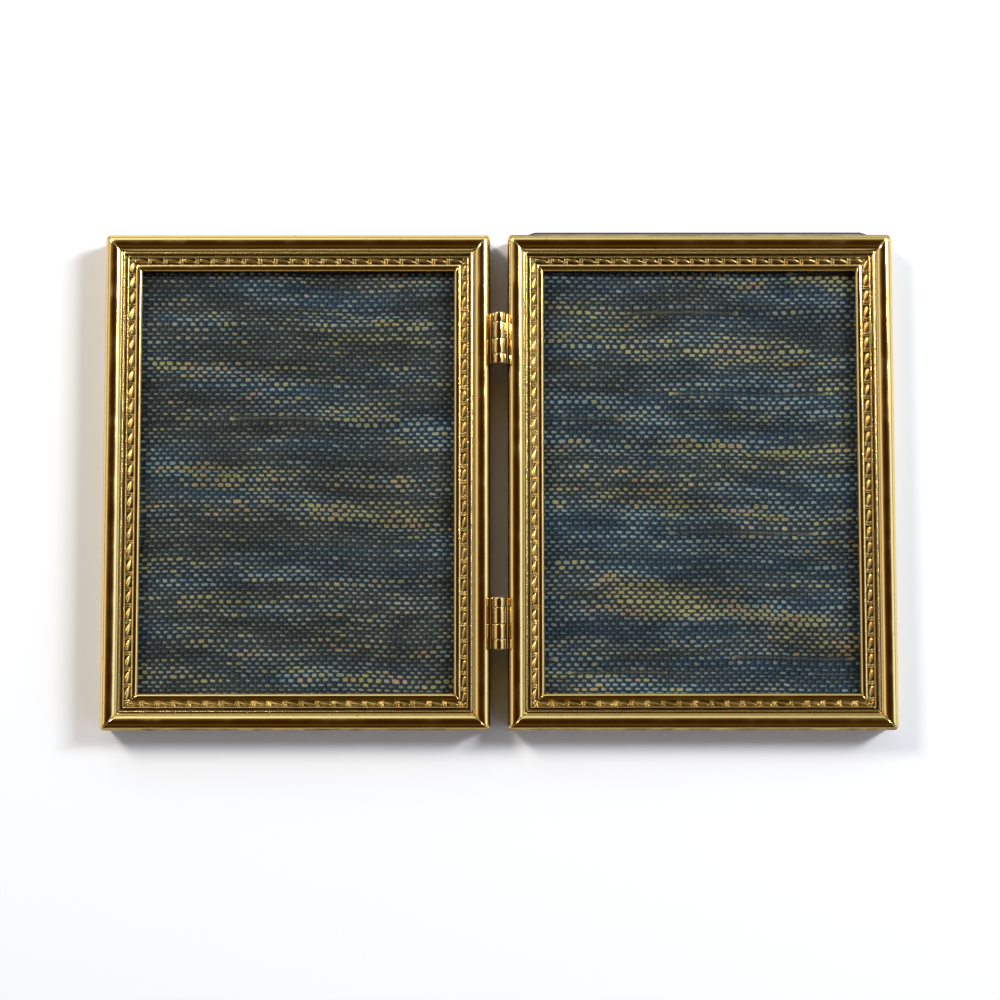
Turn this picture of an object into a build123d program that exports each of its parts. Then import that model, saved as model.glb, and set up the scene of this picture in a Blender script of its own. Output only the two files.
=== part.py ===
"""Hinged double photo frame, lying open on its back, in millimetres.

Two brass frames stand side by side, joined by two small four-knuckle hinges. Each frame is four
mitred lengths of rolled brass moulding round a pane of glass. A cloth-covered insert and a
velvet-covered back slide in behind the glass from the top, where the top rail is open at the back.

+Z is the face of the frames, +Y their top and +X to the right, seen from the front. The hinge
axis runs along Y at x = 0. The origin is the centre of the part's outline at the back face.
"""
from build123d import *
import math
import os

os.makedirs("parts", exist_ok=True)

# One frame
frame_width = 84.1
frame_height = 108.0
frame_gap = 3.9  # between the two frames, bridged by the hinges
frame_corner_radius = 1.0

# Moulding, each width counted across the face of the rail from its outer edge
bead_width = 3.4
bead_centre = 1.85  # highest line of the bead; it falls further outside than inside
cove_width = 0.55
arris_width = 0.25
quirk_width = 0.46
cord_width = 0.42
band_width = 1.27
inner_bead_width = 0.8  # from the band up to the inner bead's highest line
lip_round_width = 0.75  # from that line down to the edge of the opening

# Moulding, heights above the face of the sheet where the lip holds the glass
crest_rise = 1.9  # top of the outer bead, the highest point of the frame
arris_rise = 1.05
quirk_rise = 0.5
cord_rise = 0.78
band_outer_rise = 0.38
band_inner_rise = 0.04
inner_bead_rise = 0.35
round_over = 0.1  # how much a narrow ridge is crowned
bead_radius = 2.0
cove_sag_share = 0.17  # depth of the cove's hollow against its chord
inner_bead_sag_share = 0.09  # the same for the swell of the inner bead

# Sheet and channel
rail_sheet = 0.5
lip_bearing = 0.5  # width of the rear face of the lip that the glass bears on
bend_radius = 0.3  # inside of the fold between the side wall and the back flange
flange_reach = 6.8  # edge of the back flange in from the outer edge
key_relief = 0.08  # corner key inside the hollow bead

# What slides in and what is behind the lip
glass_thickness = 1.6
glass_clearance = 0.3
slide_clearance = 0.35  # insert and back beside the side walls
seat_clearance = 0.3  # insert and back above the bottom rail
layer_gap = 0.1
insert_card_thickness = 0.8
cloth_thickness = 0.4
back_thickness = 2.0
velvet_thickness = 0.3
slide_corner_radius = 5.0
top_setback = 0.2  # top edge of a fully inserted back under the frame's top
right_back_proud = 1.4  # the right back stands this far above the frame
mouth_clearance = 0.3  # top rail's wall above the insert

# Corner keys
key_leg = 12.0
key_width = 1.4
key_height = 1.0

# Hinges
hinge_inset = 23.0  # middle of a hinge from the nearer end of the frame
knuckle_lengths = (2.0, 3.6, 3.3, 2.1)  # from the top down, left leaf first, in turn
knuckle_gap = 0.1
knuckle_radius = 1.3
leaf_sheet = 0.5
leaf_reach = 5.0  # below the hinge axis
leaf_corner_radius = 0.8
shoulder_drop = 0.8  # the shoulder between knuckle and side wall, below the hinge axis
shoulder_radius = 0.3
closed_gap = 0.3  # between the two outer beads when the frames are shut
seam_gap = 0.1  # where the roll of a knuckle ends beside its leaf
pin_clearance = 0.05
pin_head_radius = 1.1
pin_head_height = 0.3
pin_head_chamfer_share = 0.6

# Stamped ornament: a pointed leaf, repeated along the band
motif_spacing = 3.45  # nearest even spacing is used on each rail
leaf_length = 2.0
leaf_width = 1.1
leaf_rise = 0.3
leaf_root = 0.1  # how far a leaf is let into the band

overrun = 1.0  # how far a cutting shape runs past what it cuts

# Worked out from the sizes above
rail_face = (bead_width + cove_width + arris_width + quirk_width + cord_width
             + band_width + inner_bead_width + lip_round_width)
back_level = rail_sheet + layer_gap
insert_level = back_level + back_thickness + layer_gap
insert_thickness = insert_card_thickness + cloth_thickness
glass_level = insert_level + insert_thickness + layer_gap
lip_rear = glass_level + glass_thickness
lip_front = lip_rear + rail_sheet
crest_height = lip_front + crest_rise
bead_level = crest_height - bead_radius
bead_outer_end = bead_level + math.sqrt(bead_radius ** 2 - bead_centre ** 2)
bead_inner_end = bead_level + math.sqrt(bead_radius ** 2 - (bead_width - bead_centre) ** 2)
hollow_radius = bead_radius - rail_sheet
wall_end = bead_level + math.sqrt(hollow_radius ** 2 - (bead_centre - rail_sheet) ** 2)
channel_roof = lip_rear + layer_gap
half_gap = frame_gap / 2
hinge_level = crest_height + closed_gap / 2
bore_radius = knuckle_radius - leaf_sheet
pin_radius = bore_radius - pin_clearance
hinge_length = sum(knuckle_lengths)
hinge_rise = frame_height / 2 - hinge_inset
part_mid_y = -right_back_proud / 2
frame_bottom = part_mid_y - frame_height / 2
slide_width = frame_width - 2 * (rail_sheet + slide_clearance)
slide_seat = rail_sheet + seat_clearance
slide_height = frame_height - slide_seat - top_setback
band_start = bead_width + cove_width + arris_width + quirk_width + cord_width


def front_line():
    """The face of the moulding, from the side wall over the bead to the front of the lip."""
    cove_end = bead_width + cove_width
    arris_end = cove_end + arris_width
    quirk_end = arris_end + quirk_width
    band_end = band_start + band_width
    inner_crest = band_end + inner_bead_width
    arris = lip_front + arris_rise
    quirk = lip_front + quirk_rise
    band_outer = lip_front + band_outer_rise
    band_inner = lip_front + band_inner_rise
    inner_bead = lip_front + inner_bead_rise
    cove_sag = math.hypot(cove_width, arris - bead_inner_end) * cove_sag_share
    inner_sag = math.hypot(inner_bead_width, inner_bead - band_inner) * inner_bead_sag_share
    round_level = inner_bead - lip_round_width
    round_middle = lip_round_width * math.sqrt(0.5)
    return [
        ThreePointArc((0, bead_outer_end), (bead_centre, crest_height), (bead_width, bead_inner_end)),
        SagittaArc((bead_width, bead_inner_end), (cove_end, arris), -cove_sag),
        ThreePointArc((cove_end, arris), ((cove_end + arris_end) / 2, arris + round_over), (arris_end, arris)),
        Polyline((arris_end, arris), (arris_end + round_over, quirk), (quirk_end, quirk)),
        ThreePointArc((quirk_end, quirk), (quirk_end + cord_width / 2, lip_front + cord_rise),
                      (band_start, band_outer)),
        Line((band_start, band_outer), (band_end, band_inner)),
        SagittaArc((band_end, band_inner), (inner_crest, inner_bead), inner_sag),
        ThreePointArc((inner_crest, inner_bead), (inner_crest + round_middle, round_level + round_middle),
                      (rail_face, round_level)),
    ]


def rear_line():
    """The inside of the moulding, from the front of the lip back to the inside of the side wall."""
    bearing_start = rail_face - lip_bearing
    roof_end = bearing_start - (channel_roof - lip_rear)
    round_level = lip_front + inner_bead_rise - lip_round_width
    hollow_edge = bead_centre + hollow_radius
    return [
        Polyline((rail_face, round_level), (rail_face, lip_rear), (bearing_start, lip_rear),
                 (roof_end, channel_roof), (hollow_edge, channel_roof), (hollow_edge, bead_level)),
        ThreePointArc((hollow_edge, bead_level), (bead_centre, bead_level + hollow_radius),
                      (rail_sheet, wall_end)),
    ]


def full_section():
    """Section of a side or bottom rail: moulding, side wall and back flange round a deep channel."""
    outer = bend_radius + rail_sheet
    bend_share = 1 - math.sqrt(0.5)
    middle = outer * bend_share
    inner_middle = rail_sheet + bend_radius * bend_share
    channel = [
        Line((rail_sheet, wall_end), (rail_sheet, outer)),
        ThreePointArc((rail_sheet, outer), (inner_middle, inner_middle), (outer, rail_sheet)),
        Polyline((outer, rail_sheet), (flange_reach, rail_sheet), (flange_reach, 0), (outer, 0)),
        ThreePointArc((outer, 0), (middle, middle), (0, outer)),
        Line((0, outer), (0, bead_outer_end)),
    ]
    return make_face(front_line() + rear_line() + channel)


def open_section():
    """Section of the top rail: moulding and a short side wall that ends above the insert."""
    mouth = insert_level + insert_thickness + mouth_clearance
    wall = Polyline((rail_sheet, wall_end), (rail_sheet, mouth), (0, mouth), (0, bead_outer_end))
    return make_face(front_line() + rear_line() + [wall])


def footprint(run):
    """Outline of a rail seen from the front: mitred ends, each with half of a rounded corner."""
    radius = frame_corner_radius
    near = radius * (1 - math.sqrt(0.5))
    sink = radius * (1 - math.cos(math.pi / 8))
    rise = radius * (1 - math.sin(math.pi / 8))
    return make_face([
        ThreePointArc((near, near), (sink, rise), (0, radius)),
        Line((0, radius), (0, run - radius)),
        ThreePointArc((0, run - radius), (sink, run - rise), (near, run - near)),
        Polyline((near, run - near), (rail_face, run - rail_face), (rail_face, rail_face), (near, near)),
    ])


def leaf_row(run):
    """The pointed leaves that stand on the band of a rail whose outer edge is run long."""
    band_mid = band_start + band_width / 2
    level = lip_front + (band_outer_rise + band_inner_rise) / 2
    slope = math.degrees(math.atan2(band_outer_rise - band_inner_rise, band_width))
    tip, side = leaf_length / 2, leaf_width / 2
    outline = make_face(Polyline((0, -tip), (side, 0), (0, tip), (-side, 0), close=True))
    pointed = loft([Pos(0, 0, -leaf_root) * outline, Vertex(0, 0, leaf_rise)])
    clear_run = run - 2 * (band_mid + band_width)
    count = round(clear_run / motif_spacing)
    spacing = clear_run / count
    first = (run - clear_run + spacing) / 2
    return [Pos(band_mid, first + i * spacing, level) * Rot(0, slope, 0) * pointed for i in range(count)]


def rail(section, run):
    """One mitred rail: its outer edge runs from the origin along +Y and its face lies towards +X."""
    bar = extrude(Plane.XZ * section, run, dir=(0, 1, 0))
    bar &= Pos(0, 0, -overrun) * extrude(footprint(run), crest_height + 2 * overrun)
    return bar.fuse(*leaf_row(run))


def rails():
    """The four rails of the right-hand frame, by name, where they lie."""
    left, right = half_gap, half_gap + frame_width
    top = frame_bottom + frame_height
    return {
        "hinge_rail": Location((left, frame_bottom, 0)) * rail(full_section(), frame_height),
        "outer_rail": Location((right, top, 0), (0, 0, 180)) * rail(full_section(), frame_height),
        "bottom_rail": Location((right, frame_bottom, 0), (0, 0, 90)) * rail(full_section(), frame_width),
        "top_rail": Location((left, top, 0), (0, 0, -90)) * rail(open_section(), frame_width),
    }


def corner_keys():
    """Four right-angled keys that lie in the hollow bead across the mitres."""
    low = bead_level + math.sqrt((hollow_radius - key_relief) ** 2 - (key_width / 2) ** 2) - key_height
    near = bead_centre - key_width / 2
    angle = make_face(Polyline(
        (near, near), (near + key_leg, near), (near + key_leg, near + key_width),
        (near + key_width, near + key_width), (near + key_width, near + key_leg),
        (near, near + key_leg), close=True))
    key = Pos(0, 0, low) * extrude(angle, key_height)
    left, right = half_gap, half_gap + frame_width
    top = frame_bottom + frame_height
    corners = [(left, frame_bottom, 0), (right, frame_bottom, 90), (right, top, 180), (left, top, 270)]
    return Compound([Location((x, y, 0), (0, 0, turn)) * key for x, y, turn in corners])


def glass():
    """The pane, held between the lip in front and the insert behind."""
    margin = 2 * (rail_sheet + glass_clearance)
    pane = Rectangle(frame_width - margin, frame_height - margin)
    return Pos(half_gap + frame_width / 2, part_mid_y, glass_level) * extrude(pane, glass_thickness)


def slide_block(level, thickness, inset, proud):
    """A flat board with rounded corners that slides in from the top, inset all round from its slot."""
    board = RectangleRounded(slide_width - 2 * inset, slide_height - 2 * inset, slide_corner_radius - inset)
    mid_y = frame_bottom + slide_seat + slide_height / 2 + proud
    return Pos(half_gap + frame_width / 2, mid_y, level) * extrude(board, thickness)


def insert():
    """The insert: a card, and the woven cloth over its face and its edges."""
    whole = slide_block(insert_level, insert_thickness, 0, 0)
    card = slide_block(insert_level, insert_card_thickness, cloth_thickness, 0)
    return {"insert_card": card, "insert_cloth": whole - card}


def back(proud):
    """The back: a board, and the velvet over its rear face and its edges."""
    whole = slide_block(back_level, back_thickness, 0, proud)
    board = slide_block(back_level + velvet_thickness, back_thickness - velvet_thickness, velvet_thickness, proud)
    return {"back_board": board, "back_velvet": whole - board}


def knuckle_spans():
    """Lower and upper end of each knuckle about the middle of the hinge, from the top down."""
    spans = []
    high = hinge_length / 2
    for length in knuckle_lengths:
        spans.append((high - length, high))
        high -= length
    return spans


def along_axis(profile, low, high):
    """A section drawn about the hinge axis, x across and y up, carried along Y from low to high."""
    return Pos(0, low, hinge_level) * extrude(Plane.XZ * profile, high - low, dir=(0, 1, 0))


def leaf(first):
    """A right-hand leaf with every second knuckle, from the one numbered first, about y = 0.

    Its plate lies on the frame's side wall. At a knuckle the sheet turns in over a shoulder,
    stands up as a tail and rolls round the bore, until it meets the tail again at the seam."""
    half = hinge_length / 2
    wall = Pos(half_gap - leaf_sheet / 2, -(leaf_reach + shoulder_drop) / 2) * Rectangle(
        leaf_sheet, leaf_reach - shoulder_drop)
    wall = fillet(wall.vertices().group_by(Axis.X)[-1].sort_by(Axis.Y)[-1], shoulder_radius)
    wall_inside = half_gap - leaf_sheet
    shoulder = Pos((bore_radius + wall_inside) / 2, -shoulder_drop - leaf_sheet / 2) * Rectangle(
        wall_inside - bore_radius, leaf_sheet)
    tail = Pos(bore_radius + leaf_sheet / 2, -shoulder_drop / 2) * Rectangle(leaf_sheet, shoulder_drop)
    seam = Pos(bore_radius - seam_gap / 2, -knuckle_radius / 2) * Rectangle(seam_gap, knuckle_radius)
    roll = Circle(knuckle_radius) - Circle(bore_radius) - seam
    plate = along_axis(wall, -half, half)
    foot = plate.edges().filter_by(Axis.X).group_by(Axis.Z)[0]
    plate = fillet(foot, leaf_corner_radius)
    for number, (low, high) in enumerate(knuckle_spans()):
        if number % 2 == first:
            start = low + (knuckle_gap / 2 if low > -half else 0)
            end = high - (knuckle_gap / 2 if high < half else 0)
            plate += along_axis(roll + tail + shoulder, start, end)
    return plate


def pin():
    """The hinge pin with a low head at each end, about y = 0."""
    shaft = along_axis(Circle(pin_radius), -hinge_length / 2, hinge_length / 2)
    for end in (-1, 1):
        seat = end * hinge_length / 2
        tip = seat + end * pin_head_height
        head = along_axis(Circle(pin_head_radius), min(seat, tip), max(seat, tip))
        rim = head.edges().filter_by(GeomType.CIRCLE).sort_by(Axis.Y)[-1 if end > 0 else 0]
        shaft += chamfer(rim, pin_head_height * pin_head_chamfer_share)
    return shaft


def hinge():
    """Both leaves and the pin of one hinge, about y = 0."""
    return {
        "left_leaf": mirror(leaf(0), about=Plane.YZ),
        "right_leaf": leaf(1),
        "pin": pin(),
    }


def build():
    """Every piece by its name."""
    pieces = {}
    for side in ("left", "right"):
        proud = right_back_proud + top_setback if side == "right" else 0
        frame = {**rails(), "corner_keys": corner_keys(), "glass": glass(), **insert(), **back(proud)}
        for name, piece in frame.items():
            pieces[f"{side}_{name}"] = piece if side == "right" else mirror(piece, about=Plane.YZ)
    for place, rise in (("upper", hinge_rise), ("lower", -hinge_rise)):
        for name, piece in hinge().items():
            pieces[f"{place}_hinge_{name}"] = Pos(0, part_mid_y + rise, 0) * piece
    return pieces


for name, piece in build().items():
    export_step(piece, f"parts/{name}.step")
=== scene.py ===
"""Looks of a hinged double photo frame, lying open on its back.

Two frames of rolled brass moulding stand side by side, joined by two four-knuckle hinges. Each
holds a pane of glass over a card covered in slubbed cloth, and a board covered in velvet closes
its back.

Shapes are worked out in millimetres and go into their meshes in metres, in the frame of the
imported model: +Z is the face of the frames, +Y their top and +X to the right, seen from the front.
"""

import logging
import math
from collections.abc import Callable
from dataclasses import dataclass, field
from enum import Enum
from typing import Any

import bpy
import numpy as np
from bpy.types import Material, NodeOutputs, NodeSocket, NodeTree, Object
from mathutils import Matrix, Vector


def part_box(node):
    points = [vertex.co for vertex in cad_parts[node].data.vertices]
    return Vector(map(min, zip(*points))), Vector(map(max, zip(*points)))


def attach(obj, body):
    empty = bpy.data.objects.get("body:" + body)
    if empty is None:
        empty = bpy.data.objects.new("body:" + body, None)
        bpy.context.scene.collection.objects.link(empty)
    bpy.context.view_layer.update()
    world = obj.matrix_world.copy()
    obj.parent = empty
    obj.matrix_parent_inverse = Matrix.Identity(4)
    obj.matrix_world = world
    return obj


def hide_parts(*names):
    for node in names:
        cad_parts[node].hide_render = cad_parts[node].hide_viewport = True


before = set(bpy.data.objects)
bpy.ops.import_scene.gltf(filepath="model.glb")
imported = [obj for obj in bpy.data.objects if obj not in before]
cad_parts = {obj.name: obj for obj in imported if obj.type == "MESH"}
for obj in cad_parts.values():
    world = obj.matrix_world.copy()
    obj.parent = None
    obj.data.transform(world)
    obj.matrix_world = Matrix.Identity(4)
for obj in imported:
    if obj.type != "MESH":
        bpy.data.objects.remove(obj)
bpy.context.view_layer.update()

MM = 0.001
SMOOTH = {"interpolation_type": "SMOOTHSTEP"}
LOG = logging.getLogger("double_photo_frame")


class Side(Enum):
    """The two frames, with the sign of X on which each lies."""

    LEFT = -1
    RIGHT = 1


class Edge(Enum):
    """The rails of the right-hand frame in turn, as (corner across, corner up, quarter turns).

    A rail along +Y with its lip towards +X is turned that often, and starts at that corner."""

    HINGE_RAIL = (0, 0, 0)
    TOP_RAIL = (0, 1, -1)
    OUTER_RAIL = (1, 1, 2)
    BOTTOM_RAIL = (1, 0, 1)


def linear(code: str) -> tuple[float, float, float, float]:
    """Turns an sRGB hex code into the linear colour that a shader takes.

    Args:
        code: Six hex digits, red first.

    Returns:
        Linear red, green and blue, and an alpha of 1.
    """
    parts = np.array([int(code[i:i + 2], 16) for i in (0, 2, 4)]) / 255
    low = parts <= 0.04045
    value = np.where(low, parts / 12.92, ((parts + 0.055) / 1.055) ** 2.4)
    return (*value.tolist(), 1.0)


def add(tree: NodeTree, kind: str, inputs: tuple | dict = (), **settings: Any) -> NodeOutputs:
    """Adds a shader node with its settings and links.

    Args:
        tree: The node tree that gets it.
        kind: The node's type, without the ShaderNode that starts its name.
        inputs: Sockets to link and values to set, for the first inputs in turn, or for each
            name or number in a dictionary.
        **settings: Attributes of the node, such as an operation.

    Returns:
        The new node's outputs.
    """
    node = tree.nodes.new("ShaderNode" + kind)
    for name, value in settings.items():
        setattr(node, name, value)
    for key, value in inputs.items() if isinstance(inputs, dict) else enumerate(inputs):
        if isinstance(value, NodeSocket):
            tree.links.new(value, node.inputs[key])
        else:
            node.inputs[key].default_value = value
    return node.outputs


def new_material(name: str) -> tuple[Material, NodeTree]:
    """Starts a material.

    Args:
        name: The material's name.

    Returns:
        The material and its empty node tree.
    """
    material = bpy.data.materials.new(name)
    material.use_nodes = True
    material.node_tree.nodes.clear()
    return material, material.node_tree


def wander(distance: np.ndarray, wavelengths: tuple[float, ...], seed: int) -> np.ndarray:
    """An uneven but smooth line, from -1 to 1: the mean of one cosine for each wavelength.

    Args:
        distance: Distances along the line, in mm.
        wavelengths: Wavelengths in mm.
        seed: Number that sets the phases.

    Returns:
        The value at each distance.
    """
    phases = np.random.default_rng(seed).uniform(0, 2 * np.pi, len(wavelengths))
    waves = [np.cos(2 * np.pi * distance / length + phase)
             for length, phase in zip(wavelengths, phases)]
    return np.mean(waves, axis=0)


def arc(centre: tuple[float, float], radius: float, start: float, end: float,
        count: int) -> np.ndarray:
    """Points of an arc between two angles, in degrees to the left of straight up."""
    turn = np.radians(np.linspace(start, end, count))
    return np.stack([centre[0] - radius * np.sin(turn), centre[1] + radius * np.cos(turn)], axis=1)


def bend(start: tuple, pull: tuple, end: tuple, count: int) -> np.ndarray:
    """Points of a quadratic curve that leaves start towards pull and comes in to end from it.

    Args:
        start: First point.
        pull: Point that draws the curve.
        end: Last point.
        count: Number of points.

    Returns:
        An array of count points.
    """
    share = np.linspace(0, 1, count)[:, None]
    first, middle, last = (np.array(p, float) for p in (start, pull, end))
    return (1 - share) ** 2 * first + 2 * share * (1 - share) * middle + share ** 2 * last


def make_piece(name: str, points: np.ndarray, faces: np.ndarray,
               wide_faces: list[np.ndarray] = (), uv: np.ndarray | None = None,
               crease: float = 60) -> Object:
    """Puts points and faces into a smooth-shaded mesh at the origin.

    Args:
        name: Name of the piece.
        points: Points in mm, one row each.
        faces: Faces of four corners, one row of point numbers each.
        wide_faces: Faces of any number of corners, each an array of point numbers.
        uv: Texture coordinates of each point, for a map named weave.
        crease: Angle in degrees past which an edge is sharp.

    Returns:
        The new object.
    """
    loops = np.concatenate([faces.ravel(), *wide_faces]).astype(np.int32)
    sizes = [np.full(len(faces), faces.shape[1]), [len(face) for face in wide_faces]]
    starts = np.concatenate([[0], np.cumsum(np.concatenate(sizes))[:-1]]).astype(np.int32)
    mesh = bpy.data.meshes.new(name)
    mesh.vertices.add(len(points))
    mesh.vertices.foreach_set("co", (points * MM).astype(np.float32).ravel())
    mesh.loops.add(len(loops))
    mesh.loops.foreach_set("vertex_index", loops)
    mesh.polygons.add(len(starts))
    mesh.polygons.foreach_set("loop_start", starts)
    mesh.polygons.foreach_set("use_smooth", np.ones(len(starts), bool))
    mesh.update(calc_edges=True)
    if uv is not None:
        layer = mesh.uv_layers.new(name="weave")
        layer.data.foreach_set("uv", uv[loops].astype(np.float32).ravel())
    mesh.set_sharp_from_angle(angle=math.radians(crease))
    mesh.validate()
    piece = bpy.data.objects.new(name, mesh)
    bpy.context.scene.collection.objects.link(piece)
    return piece


def give_attribute(piece: Object, name: str, values: np.ndarray) -> None:
    """Stores one number at each point of a piece, under a name that its material reads."""
    attribute = piece.data.attributes.new(name, "FLOAT", "POINT")
    attribute.data.foreach_set("value", values.astype(np.float32).ravel())


def sweep_faces(rows: int, columns: int, mirrored: bool) -> tuple[np.ndarray, list[np.ndarray]]:
    """Faces of a closed section carried along a path: rows of columns, with a cap at each end.

    Args:
        rows: Number of stations along the path.
        columns: Number of points of the section.
        mirrored: True turns every face over, for a shape that was mirrored.

    Returns:
        The four-cornered faces and the two caps.
    """
    number = np.arange(rows * columns).reshape(rows, columns)
    here, ahead = number[:-1], number[1:]
    corners = [here, np.roll(here, -1, 1), np.roll(ahead, -1, 1), ahead]
    quads = np.stack(corners, axis=-1).reshape(-1, 4)
    caps = [number[0][::-1], number[-1]]
    if mirrored:
        quads, caps = quads[:, ::-1], [cap[::-1] for cap in caps]
    return quads, caps


def place(piece: Object, body: str, nodes: list[str], material: Material) -> None:
    """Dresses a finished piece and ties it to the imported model.

    Args:
        piece: The piece.
        body: The body that it moves with.
        nodes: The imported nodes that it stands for.
        material: Its finish.
    """
    piece.data.materials.append(material)
    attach(piece, body)
    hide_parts(*nodes)
    LOG.info("%s: %d faces, rides on %s, stands for %s", piece.name, len(piece.data.polygons),
             body, nodes)


@dataclass(frozen=True)
class BuffedBrass:
    """Rolled brass, buffed and lacquered.

    The eye sees a deep yellow mirror that blurs a little, duller where it is stamped, and brown
    film where no buffing wheel reaches: in the hollows of the moulding and between the leaves. The
    same brown is also painted shade on some edges, walls and leaves."""

    name: str = "buffed_lacquered_brass"
    metal: str = "EAC87D"
    # Brown of the patina film, also used as painted shade on some edges, walls and leaves.
    film: str = "644A18"
    roughness: float = 0.12
    haze: float = 0.09  # how much rougher the hazy patches are
    film_roughness: float = 0.3
    stamped_roughness: float = 0.3
    blotch: float = 5.0  # mm, width of a patch of film or haze
    speck: float = 0.7  # mm, spacing of tarnish specks
    speck_film: float = 0.75
    hairline: tuple[float, float] = (9.0, 0.12)  # mm, length and width of a buffing line
    hairline_depth: float = 0.0012  # mm

    def build(self) -> Material:
        """Makes the material. The hollow attribute says how much brown film there is, from 0 to 1:
        patina in the hollows, and painted shade on some edges, walls and leaves.

        Returns:
            The material.
        """
        material, tree = new_material(self.name)
        place_at = add(tree, "TexCoord")["Object"]
        hollow = add(tree, "Attribute", attribute_name="hollow")["Fac"]
        stamped = add(tree, "Attribute", attribute_name="stamped")["Fac"]
        along = add(tree, "UVMap", uv_map="weave")[0]
        blotch, specks = (
            add(tree, "TexNoise", {"Vector": place_at, "Scale": 1 / (size * MM), "Detail": fine})[0]
            for size, fine in ((self.blotch, 3.0), (self.speck, 2.0)))
        scale = (1 / self.hairline[0], 1 / self.hairline[1], 0.0)
        lines_at = add(tree, "VectorMath", (along, scale), operation="MULTIPLY")[0]
        lines = add(tree, "TexNoise", {"Vector": lines_at, "Scale": 1.0, "Detail": 2.0})[0]
        patchy = add(tree, "MapRange", (blotch, 0.3, 0.75, 0.75, 1.15), **SMOOTH)[0]
        speckled = add(tree, "MapRange", (specks, 0.70, 0.76, 0.0, self.speck_film), **SMOOTH)[0]
        film = add(tree, "Math", (hollow, patchy), operation="MULTIPLY")[0]
        film = add(tree, "Math", (film, speckled), operation="MAXIMUM")[0]
        colour = add(tree, "Mix", {0: film, 6: linear(self.metal), 7: linear(self.film)},
                     data_type="RGBA")[2]
        rough = add(tree, "MapRange", (blotch, 0.35, 0.8, self.roughness,
                                       self.roughness + self.haze), **SMOOTH)[0]
        for share, end in ((film, self.film_roughness), (stamped, self.stamped_roughness)):
            rough = add(tree, "Mix", {0: share, 2: rough, 3: end})[0]
        bump = add(tree, "Bump", {"Height": lines, "Strength": 0.6,
                                  "Distance": self.hairline_depth * MM})[0]
        shader = add(tree, "BsdfPrincipled", {"Base Color": colour, "Metallic": 1.0,
                                              "Roughness": rough, "Normal": bump})
        add(tree, "OutputMaterial", (shader[0],))
        return material


@dataclass(frozen=True)
class PictureGlass:
    """Float glass, 1.6 mm: clear and smooth, so the eye sees only what it mirrors."""

    name: str = "float_glass"
    tint: str = "F7FBF9"
    roughness: float = 0.0
    refraction: float = 1.52

    def build(self) -> Material:
        """Makes the material.

        Returns:
            The material.
        """
        material, tree = new_material(self.name)
        shader = add(tree, "BsdfPrincipled", {
            "Base Color": linear(self.tint), "Roughness": self.roughness,
            "IOR": self.refraction, "Transmission Weight": 1.0})
        add(tree, "OutputMaterial", (shader[0],))
        return material


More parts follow.
